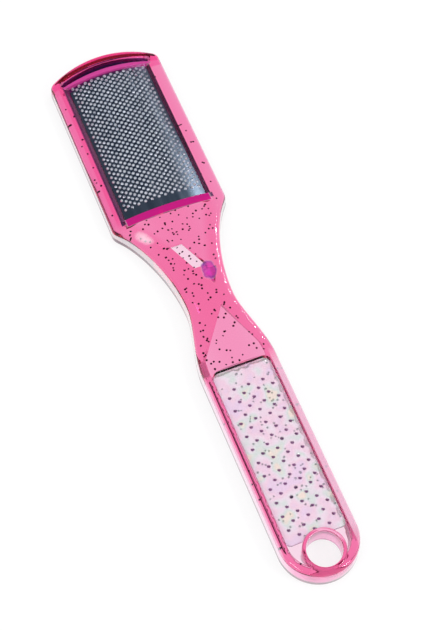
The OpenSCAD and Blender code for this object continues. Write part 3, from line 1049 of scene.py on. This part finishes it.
def plate_steel():
    material, tree, shader = new_material("dark_bright_steel")
    rolled = object_noise(tree, 250, detail=5, stretch=(1, 0.08, 1))
    sheet = tones(tree, rolled, (0.3, (0.14, 0.19, 0.26, 1)), (0.75, (0.24, 0.30, 0.38, 1)))
    place = add(tree, "ShaderNodeTexCoord").outputs["Object"]
    off_slot = maths(tree, "ABSOLUTE",
                     maths(tree, "SUBTRACT", plan_distance(tree, place, slot_axis_y), slot_r * mm))
    # Painted shade and pink light: the steel under the slot is darkened to violet.
    in_slot = share_between(tree, off_slot, slot_w / 2 + 0.5, slot_w / 2 + 0.2)
    fill(tree, shader, {"Base Color": mixed(tree, in_slot, sheet, slot_shade_violet), "Metallic": 1,
                        "Roughness": spread(tree, rolled, 0.16, 0.30),
                        "Normal": bump(tree, rolled, 0.1, 0.0001)})
    return material


# %% Cut steel of the collars
def burr_steel():
    material, tree, shader = new_material("cut_steel")
    grain = object_noise(tree, 900, detail=3)
    fill(tree, shader, {
        "Base Color": tones(tree, grain, (0, (0.55, 0.57, 0.66, 1)), (1, (0.86, 0.87, 0.94, 1))),
        "Metallic": 1, "Roughness": spread(tree, grain, 0.25, 0.45)})
    return material


# %% Purple of the flakes
def flake_purple():
    material, tree, shader = new_material("dark_purple_flake")
    each = object_noise(tree, 400, detail=0)
    fill(tree, shader, {
        "Base Color": tones(tree, each, (0.35, (0.030, 0.004, 0.030, 1)), (0.70, (0.11, 0.012, 0.075, 1))),
        "Metallic": 0.4, "Roughness": spread(tree, object_noise(tree, 700), 0.25, 0.45)})
    return material


# %% Finishes made
def dress(piece, material):
    piece.data.materials.clear()
    piece.data.materials.append(material)


sheet_steel = plate_steel()
cut_steel = burr_steel()
flake_finish = flake_purple()
dress(handle, handle_plastic)
print("Materials:", [m.name for m in bpy.data.materials])

# %% [markdown]
# ## Trees of Geometry Nodes
# Each tree gets named inputs, so that a reader can change its sizes in the modifier, and ends in
# Realize Instances and Set Material. When it has run, its result is kept as a plain mesh.

# %% Tree helpers
socket_kinds = {float: "NodeSocketFloat", int: "NodeSocketInt"}


def start_tree(name, sizes):
    """A Geometry Nodes tree with a geometry input, a material input and named sizes."""
    tree = bpy.data.node_groups.new(name, "GeometryNodeTree")
    tree.interface.new_socket("Geometry", in_out="INPUT", socket_type="NodeSocketGeometry")
    tree.interface.new_socket("Geometry", in_out="OUTPUT", socket_type="NodeSocketGeometry")
    tree.interface.new_socket("Material", in_out="INPUT", socket_type="NodeSocketMaterial")
    for label, value in sizes.items():
        tree.interface.new_socket(label, in_out="INPUT", socket_type=socket_kinds[type(value)])
    return tree, tree.nodes.new("NodeGroupInput").outputs


def finish_tree(tree, geometry, material):
    """Ends a tree in Realize Instances and Set Material."""
    whole = add(tree, "GeometryNodeRealizeInstances", {"Geometry": geometry})
    coloured = add(tree, "GeometryNodeSetMaterial", {"Geometry": whole.outputs[0], "Material": material})
    add(tree, "NodeGroupOutput", {"Geometry": coloured.outputs[0]})


def run_tree(piece, tree, sizes, material):
    """Runs a tree on a piece and keeps the resulting mesh."""
    modifier = piece.modifiers.new(tree.name, "NODES")
    modifier.node_group = tree
    for item in tree.interface.items_tree:
        if item.in_out == "INPUT" and item.name in sizes:
            modifier[item.identifier] = sizes[item.name]
        if item.in_out == "INPUT" and item.name == "Material":
            modifier[item.identifier] = material
    bake(piece)


# %% Short forms for geometry nodes
def joined(tree, *parts):
    """Several geometries as one."""
    join = add(tree, "GeometryNodeJoinGeometry")
    for part in parts:
        tree.links.new(part, join.inputs[0])
    return join.outputs[0]


def moved(tree, geometry, offset):
    return add(tree, "GeometryNodeTransform", {"Geometry": geometry, "Translation": offset}).outputs[0]


def place_in_tree(tree):
    """The parts of each point's place."""
    return parts_of(tree, add(tree, "GeometryNodeInputPosition").outputs[0])


# %% [markdown]
# ## Pips on the insert
# Two grids of points, one for the odd columns and one for the even ones, are lifted onto the arch.
# Each point gets a flattened ball. The lower half of each ball would lie inside the panel, so the
# tree ends its shape with a Boolean union.

# %% Grids and an arch in nodes
def staggered_grid(tree, across, along, count_x, count_y, centre_y):
    """A grid of points around x = 0 and y = centre_y."""
    size_x = maths(tree, "MULTIPLY", across, maths(tree, "SUBTRACT", count_x, 1.0))
    size_y = maths(tree, "MULTIPLY", along, maths(tree, "SUBTRACT", count_y, 1.0))
    grid = add(tree, "GeometryNodeMeshGrid", {"Size X": size_x, "Size Y": size_y,
                                              "Vertices X": count_x, "Vertices Y": count_y})
    return moved(tree, grid.outputs["Mesh"], vector_of(tree, Y=centre_y))


def onto_arch(tree, points, top, radius):
    """Lifts points onto an arch and gives the turn that follows it."""
    x = place_in_tree(tree)[0]
    lift = vector_of(tree, Z=arch_height(tree, x, top, radius))
    lifted = add(tree, "GeometryNodeSetPosition", {"Geometry": points, "Offset": lift})
    tilt = vector_of(tree, Y=maths(tree, "ARCSINE", maths(tree, "DIVIDE", x, radius)))
    return lifted.outputs[0], tilt


# %% Pips with Geometry Nodes
pip_sizes = {"Pip diameter": pip_d, "Pip height": pip_h, "Column gap": pip_column, "Pitch": pip_pitch,
             "Odd columns": (pip_columns + 1) // 2, "Even columns": pip_columns // 2, "Rows": pip_rows,
             "Middle": recess_y - pip_start - (pip_rows - 1) / 2 * pip_pitch,
             "Crown": inlay_top(0, 0), "Crown radius": inlay_crown_r}
tree, given = start_tree("pips", pip_sizes)
two_gaps = maths(tree, "MULTIPLY", given["Column gap"], 2.0)
fewer = maths(tree, "SUBTRACT", given["Rows"], 1.0)
grids = joined(tree, *[
    staggered_grid(tree, two_gaps, given["Pitch"], given[columns], rows, given["Middle"])
    for columns, rows in (("Odd columns", fewer), ("Even columns", given["Rows"]))])
places, turn = onto_arch(tree, grids, given["Crown"], given["Crown radius"])
ball = add(tree, "GeometryNodeMeshUVSphere", {"Segments": 16, "Rings": 8, "Radius": 1.0})
half_d = maths(tree, "MULTIPLY", given["Pip diameter"], 0.5)
pips = add(tree, "GeometryNodeInstanceOnPoints", {
    "Points": places, "Instance": ball.outputs["Mesh"], "Rotation": turn,
    "Scale": vector_of(tree, X=half_d, Y=half_d, Z=given["Pip height"])})
domes = add(tree, "GeometryNodeRealizeInstances", {"Geometry": pips.outputs[0]})
union = add(tree, "GeometryNodeMeshBoolean", operation="UNION", solver="MANIFOLD")
for part in (given["Geometry"], domes.outputs[0]):
    tree.links.new(part, union.inputs["Mesh 2"])
finish_tree(tree, union.outputs[0], given["Material"])
run_tree(insert, tree, pip_sizes, insert_plastic)
to_metres(insert)
print("Insert with pips:", len(insert.data.polygons), "faces")

# %% [markdown]
# ## The pierced plate
# The plate begins flat. The tree subdivides a thin box, bows its far end, cuts the holes with two
# grids of twelve-sided pins and bends the result into an arch. A plate could also be drawn as one
# outline with hundreds of holes, but the grids keep the count and the pitch as sizes to change.

# %% Sizes of the plate's tree
first_row_y = window_y + plain_band
row_count = int((window_far_y - first_row_y - pierce_d / 2) / row_pitch) + 1
column_count = int((window_w - pierce_d) / pierce_pitch) + 1
plate_sizes = {"Width": float(plate_w), "Start": window_y - end_tuck, "End radius": float(plate_end_r),
               "End centre": slot_axis_y, "Thickness": plate_t, "Crown": plate_top,
               "Crown radius": float(plate_r), "Hole": pierce_d, "Pitch": pierce_pitch,
               "Row gap": row_pitch, "Wide rows": (row_count + 1) // 2, "Narrow rows": row_count // 2,
               "Holes in a wide row": column_count, "First row": first_row_y}


def hole_grids(tree, given):
    """Points of both lattices of holes, joined."""
    two_rows = maths(tree, "MULTIPLY", given["Row gap"], 2.0)
    fewer = maths(tree, "SUBTRACT", given["Holes in a wide row"], 1.0)
    grids = []
    for rows, columns, shift in ((given["Wide rows"], given["Holes in a wide row"], 0.0),
                                 (given["Narrow rows"], fewer, 1.0)):
        span = maths(tree, "MULTIPLY", maths(tree, "SUBTRACT", rows, 1.0), given["Row gap"])
        first = maths(tree, "ADD", given["First row"], maths(tree, "MULTIPLY", given["Row gap"], shift))
        grids.append(staggered_grid(tree, given["Pitch"], two_rows, columns, rows,
                                    maths(tree, "ADD", first, span)))
    return joined(tree, *grids)


print("Rows of holes:", row_count, "with", column_count, "or", column_count - 1, "holes")

# %% Plate with Geometry Nodes
tree, given = start_tree("pierced_plate", plate_sizes)
far = maths(tree, "ADD", given["End centre"], given["End radius"])
length = maths(tree, "SUBTRACT", far, given["Start"])
slab = add(tree, "GeometryNodeMeshCube", {
    "Size": vector_of(tree, X=given["Width"], Y=length, Z=given["Thickness"]),
    "Vertices X": 60, "Vertices Y": 2, "Vertices Z": 2})
centre_y = maths(tree, "ADD", given["Start"], maths(tree, "MULTIPLY", length, 0.5))
x, y, _ = place_in_tree(tree)
at_far = add(tree, "FunctionNodeCompare", {0: y, 1: maths(tree, "SUBTRACT", far, 1.0)},
             data_type="FLOAT", operation="GREATER_THAN")
pulled = maths(tree, "SUBTRACT", arch_height(tree, x, far, given["End radius"]), far)
bowed = add(tree, "GeometryNodeSetPosition", {
    "Geometry": moved(tree, slab.outputs["Mesh"], vector_of(tree, Y=centre_y)),
    "Selection": at_far.outputs[0], "Offset": vector_of(tree, Y=pulled)})
pin = add(tree, "GeometryNodeMeshCylinder", {
    "Vertices": 12, "Radius": maths(tree, "MULTIPLY", given["Hole"], 0.5),
    "Depth": maths(tree, "MULTIPLY", given["Thickness"], 3.0)})
pins = add(tree, "GeometryNodeInstanceOnPoints", {"Points": hole_grids(tree, given),
                                                  "Instance": pin.outputs["Mesh"]})
solid_pins = add(tree, "GeometryNodeRealizeInstances", {"Geometry": pins.outputs[0]})
pierced = add(tree, "GeometryNodeMeshBoolean",
              {"Mesh 1": bowed.outputs[0], "Mesh 2": solid_pins.outputs[0]},
              operation="DIFFERENCE", solver="MANIFOLD")
middle = maths(tree, "SUBTRACT", given["Crown"], maths(tree, "MULTIPLY", given["Thickness"], 0.5))
bent, _ = onto_arch(tree, pierced.outputs[0], middle, given["Crown radius"])
finish_tree(tree, bent, given["Material"])

plate = into_scene("pierced_plate", bpy.data.meshes.new("pierced_plate"))
run_tree(plate, tree, plate_sizes, sheet_steel)
to_metres(plate)
print("Plate:", len(plate.data.polygons), "faces,", row_count, "rows")

# %% [markdown]
# ## Collars round the holes
# The punch that makes each hole leaves a ragged collar round it, and those collars file the skin.
# Each is a cone outside and a steeper one inside, turned outside in and joined at the mouth. A
# random lean and turn for every copy keeps them from looking alike. The seed is fixed, so the same
# collars come back each time.

# %% Sizes of the collars and a cone
full_turn = 6.28
throat_share = 0.42
weld = 0.01
collar_sizes = {key: plate_sizes[key] for key in ("Crown", "Crown radius", "Pitch", "Row gap", "Wide rows",
                                                  "Narrow rows", "Holes in a wide row", "First row")}
collar_sizes.update({"Base": 1.5, "Mouth": 0.86, "Height": 0.42, "Root": 0.25, "Raggedness": 0.18, "Seed": 5})


def cone(tree, top_r, bottom_r, depth, segments):
    """The side wall of a cone with twelve sides."""
    made = add(tree, "GeometryNodeMeshCone", {"Vertices": 12, "Side Segments": segments, "Radius Top": top_r,
                                              "Radius Bottom": bottom_r, "Depth": depth}, fill_type="NONE")
    return made.outputs["Mesh"]


def random_turn(tree, seed, limit):
    """A lean of up to a limit to either side, and any turn about the upright axis."""
    spin = add(tree, "FunctionNodeRandomValue", {0: (-1, -1, 0), 1: (1, 1, full_turn), "Seed": seed},
               data_type="FLOAT_VECTOR")
    return vector_maths(tree, "MULTIPLY", spin.outputs[0], vector_of(tree, X=limit, Y=limit, Z=1.0))


# %% Collars
tree, given = start_tree("collars", collar_sizes)
places, turn = onto_arch(tree, hole_grids(tree, given), given["Crown"], given["Crown radius"])
mouth_r = maths(tree, "MULTIPLY", given["Mouth"], 0.5)
outside = cone(tree, mouth_r, maths(tree, "MULTIPLY", given["Base"], 0.5), given["Height"], 2)
inside = cone(tree, mouth_r, maths(tree, "MULTIPLY", given["Mouth"], throat_share),
              maths(tree, "ADD", given["Height"], given["Root"]), 1)
sunk = moved(tree, inside, vector_of(tree, Z=maths(tree, "MULTIPLY", given["Root"], -1.0)))
turned = add(tree, "GeometryNodeFlipFaces", {"Mesh": sunk})
crater = add(tree, "GeometryNodeMergeByDistance", {
    "Geometry": joined(tree, outside, turned.outputs[0]), "Distance": weld})
whole_turn = vector_maths(tree, "ADD", random_turn(tree, given["Seed"], given["Raggedness"]), turn)
collars = add(tree, "GeometryNodeInstanceOnPoints", {"Points": places, "Instance": crater.outputs[0],
                                                     "Rotation": whole_turn})
finish_tree(tree, collars.outputs[0], given["Material"])

burrs = into_scene("plate_burrs", bpy.data.meshes.new("plate_burrs"))
run_tree(burrs, tree, collar_sizes, cut_steel)
to_metres(burrs, smooth_angle=50)
print("Collars:", len(burrs.data.polygons), "faces")

# %% [markdown]
# ## Flakes in the plastic
# Flat patches of the plan say where flakes may lie, and each patch carries how deep under the face
# they lie and how close together. Geometry Nodes scatter points on the patches, drop each one to a
# random depth and put a thin six-sided flake there, tilted a little.

# %% Patches for flakes
patches = []


def patch(loop, shallow, deep, per_cm2, tilt):
    """Flakes lie between two depths under the crown, inside a loop."""
    patches.append((clockwise([Vector(p) for p in loop]), shallow, deep, per_cm2, math.radians(tilt)))


def band(low_y, high_y, inwards):
    """The part of the outline between two places along the handle, drawn in."""
    side = [p for p in drawn_in(outline, inwards) if p.x > 0 and low_y <= p.y <= high_y]
    return side + [Vector((-p.x, p.y)) for p in side[::-1]]


def strip(x0, x1, y0, y1):
    return [(x0, y0), (x1, y0), (x1, y1), (x0, y1)]


skin = 0.35
in_floor = {"shallow": recess_depth + skin, "deep": recess_depth + floor_t - skin, "tilt": 8}
patch(band(point_y, window_y - 2.5, 2.8), shallow=1.2, deep=5.2, per_cm2=10.5, tilt=35)
patch(band(recess_y + 1.5, point_y, 2.8), shallow=1.2, deep=4.6, per_cm2=9.0, tilt=35)
patch(strip(-recess_w / 2 + 1, recess_w / 2 - 1, inlay_end_y + 2, recess_y - 2), per_cm2=6.5, **in_floor)
for side in (-1, 1):
    bar = sorted((side * (window_w / 2 + 1.6), side * (head_w / 2 - 2.4)))
    patch(strip(*bar, window_y, window_far_y - 4), shallow=1.6, deep=4.0, per_cm2=5.0, tilt=30)
    wall = sorted((side * (recess_w / 2 + 0.9), side * (grip_w / 2 - 0.9)))
    patch(strip(*wall, grip_end_y, recess_y), shallow=1.4, deep=3.0, per_cm2=4.0, tilt=20)
    horn = sorted((side * (ring_r + 1), side * (recess_w / 2 - 0.8)))
    patch(strip(*horn, hang_y - 2, inlay_end_y - 1), per_cm2=9.0, **in_floor)

# %% Mesh of the patches
flakes = into_scene("plastic_flakes", bpy.data.meshes.new("plastic_flakes"))
points = [(p.x, p.y, 0) for loop, *_ in patches for p in loop]
faces, count = [], 0
for loop, *_ in patches:
    faces.append(list(range(count, count + len(loop))))
    count += len(loop)
flakes.data.from_pydata(points, [], faces)
per_mm2 = 0.01
for column, label in enumerate(("shallow", "deep", "density", "tilt"), start=1):
    layer = flakes.data.attributes.new(label, "FLOAT", "FACE")
    scale = per_mm2 if label == "density" else 1
    layer.data.foreach_set("value", [row[column] * scale for row in patches])
print("Patches for flakes:", len(patches))

# %% Flakes with Geometry Nodes
flake_sizes = {"Flake width": 0.95, "Flake thickness": 0.12, "Seed": 11, "Crown": float(handle_t),
               "Crown radius": float(crown_r)}
faces_of_flake = 8


def read(tree, label):
    return add(tree, "GeometryNodeInputNamedAttribute", {"Name": label}, data_type="FLOAT").outputs[0]


tree, given = start_tree("flakes", flake_sizes)
cells = add(tree, "GeometryNodeTriangulate", {"Mesh": given["Geometry"]})
dots = add(tree, "GeometryNodeDistributePointsOnFaces", {
    "Mesh": cells.outputs[0], "Density": read(tree, "density"), "Seed": given["Seed"]})
depth = add(tree, "FunctionNodeRandomValue", {2: read(tree, "shallow"), 3: read(tree, "deep"),
                                              "Seed": given["Seed"]}, data_type="FLOAT")
crown_height = arch_height(tree, place_in_tree(tree)[0], given["Crown"], given["Crown radius"])
height = maths(tree, "SUBTRACT", crown_height, depth.outputs[1])
sunk = add(tree, "GeometryNodeSetPosition", {
    "Geometry": dots.outputs[0], "Offset": vector_of(tree, Z=height)})
turn = random_turn(tree, maths(tree, "ADD", given["Seed"], 1.0), read(tree, "tilt"))
size = add(tree, "FunctionNodeRandomValue", {2: 0.8, 3: 1.15, "Seed": given["Seed"]}, data_type="FLOAT")
disc = add(tree, "GeometryNodeMeshCylinder", {"Vertices": 6, "Depth": given["Flake thickness"],
                                              "Radius": maths(tree, "MULTIPLY", given["Flake width"], 0.5)})
scattered = add(tree, "GeometryNodeInstanceOnPoints", {
    "Points": sunk.outputs[0], "Instance": disc.outputs["Mesh"], "Rotation": turn, "Scale": size.outputs[1]})
finish_tree(tree, scattered.outputs[0], given["Material"])
run_tree(flakes, tree, flake_sizes, flake_finish)
flakes.data.transform(Matrix.Scale(mm, 4))
print("Flakes:", len(flakes.data.polygons) // faces_of_flake)

# %% [markdown]
# ## The floor
# Clear things are lit by what lies behind and around them, so a pale floor shines through the
# plastic. Four fifths of its light is its own glow, and all of it for rays that come through the
# plastic or are mirrored. That keeps it as even and white as a light table, with a faint shadow.

# %% Floor
white = (1, 1, 1, 1)
floor_drop = 0.3 * mm
floor_size = 3.0
least_glow = 0.8
floor_mesh = bpy.data.meshes.new("floor")
half = floor_size / 2
floor_mesh.from_pydata([(x, y, -floor_drop) for x, y in strip(-half, half, -half, half)], [], [(0, 1, 2, 3)])
floor = into_scene("floor", floor_mesh)
material, tree, shader = new_material("pale_floor")
fill(tree, shader, {"Base Color": (0.93, 0.93, 0.935, 1), "Roughness": 0.9, "Specular IOR Level": 0.1})
rays = add(tree, "ShaderNodeLightPath").outputs
through = where_any(tree, rays["Is Glossy Ray"], rays["Is Transmission Ray"], least_glow)
glow = add(tree, "ShaderNodeEmission", {"Color": white, "Strength": 1.0})
part_glow = add(tree, "ShaderNodeMixShader", {0: through, 1: shader.outputs[0], 2: glow.outputs[0]})
fill(tree, tree.nodes["Material Output"], {"Surface": part_glow.outputs[0]})
dress(floor, material)
print("Floor:", floor_size, "m wide")

# %% [markdown]
# ## Two skies and a white backdrop
# What the surface mirrors and what is seen through it don't need the same sky. Mirrored rays meet a
# sky that darkens quickly with height, which gives the steel its slate tone. Rays that come through
# the plastic meet a paler violet one, which keeps the plastic clear with thin dark outlines. The
# camera itself sees plain white.

# %% World
world = bpy.data.worlds.new("studio")
world.use_nodes = True
bpy.context.scene.world = world
tree = world.node_tree
tree.nodes.clear()
up = parts_of(tree, add(tree, "ShaderNodeTexCoord").outputs["Generated"])[2]
mirrored_sky = tones(tree, up, (0.05, (0.9, 0.9, 0.92, 1)), (0.45, (0.16, 0.17, 0.20, 1)))
through_sky = tones(tree, up, (0.05, (0.95, 0.93, 0.97, 1)), (0.6, (0.42, 0.36, 0.50, 1)))
rays = add(tree, "ShaderNodeLightPath").outputs
seen = mixed(tree, rays["Is Glossy Ray"], (0.93, 0.93, 0.94, 1), mirrored_sky)
seen = mixed(tree, rays["Is Transmission Ray"], seen, through_sky)
seen = mixed(tree, rays["Is Camera Ray"], seen, white)
background = add(tree, "ShaderNodeBackground", {"Color": seen, "Strength": 1.0})
add(tree, "ShaderNodeOutputWorld", {"Surface": background.outputs[0]})
print("World:", len(tree.nodes), "nodes")

# %% [markdown]
# ## Lamps
# Three square area lamps stand round the object, as softboxes would. The key from the right draws
# the long highlights, the fill from the left opens the dark side, and a small one beyond the head
# lights its far corner. Small lamps make small crisp highlights on clear plastic.

# %% Lamps
lamp_distance = 1.3


def softbox(name, direction, side, power):
    """A square area lamp that faces the object's middle."""
    lamp = bpy.data.lights.new(name, "AREA")
    lamp.shape = "RECTANGLE"
    lamp.size = side
    lamp.size_y = side
    lamp.energy = power
    holder = into_scene(name, lamp)
    toward = Vector(direction).normalized()
    holder.location = toward * lamp_distance
    holder.rotation_euler = (-toward).to_track_quat("-Z", "Y").to_euler()


softbox("key", (0.75, -0.75, 0.85), side=0.32, power=4.5)
softbox("fill", (-0.95, -0.35, 0.7), side=0.45, power=3.6)
softbox("corner", (0.58, 0.45, 0.70), side=0.08, power=1.5)
print("Lamps:", [lamp.name for lamp in bpy.data.lights])

# %% [markdown]
# ## Hand over to the frame
# Each piece is attached to the root body, and the CAD nodes that it stands for are hidden.

# %% Pieces and bodies
for piece, material_slot, cad_nodes in (
        (handle, "handle_plastic", ["handle"]), (plate, "plate_steel", ["file_plate"]),
        (burrs, "plate_steel", []), (insert, "inlay_plastic", ["grip_inlay"]),
        (flakes, "glitter", ["glitter_flakes"])):
    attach(piece, "root")
    if cad_nodes:
        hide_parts(*cad_nodes)

bpy.context.scene.view_settings.view_transform = "Standard"
